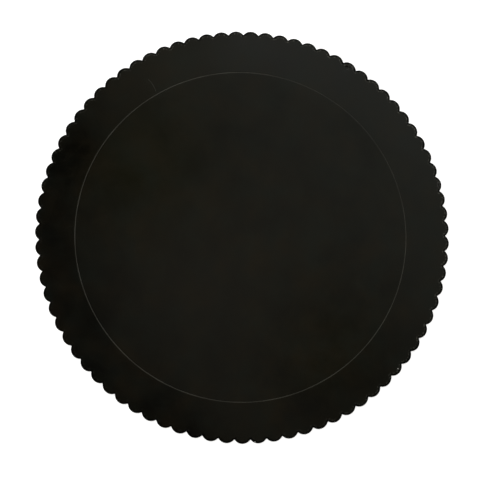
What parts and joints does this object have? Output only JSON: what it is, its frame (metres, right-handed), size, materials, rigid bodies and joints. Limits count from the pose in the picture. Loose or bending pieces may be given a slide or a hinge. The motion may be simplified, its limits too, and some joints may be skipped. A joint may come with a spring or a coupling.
{
  "type": "cake board",
  "caption": "Round black laminated cardboard board with a scalloped die-cut edge and a creased ring, for standing a cake on",
  "frame": {"origin": "centre of the underside, on the axis of the scalloped edge", "axes": "+Z is the normal of the cake face, pointing up; +X points to the tip of one lobe; +Y completes the right-handed set"},
  "size_m": [0.3, 0.2998, 0.003],
  "materials": {
    "laminated_card": "solid card with a thin satin black film over the top face and its rolled edge"
  },
  "bodies": {
    "root": {"cake_board": "laminated_card"}
  },
  "joints": []
}
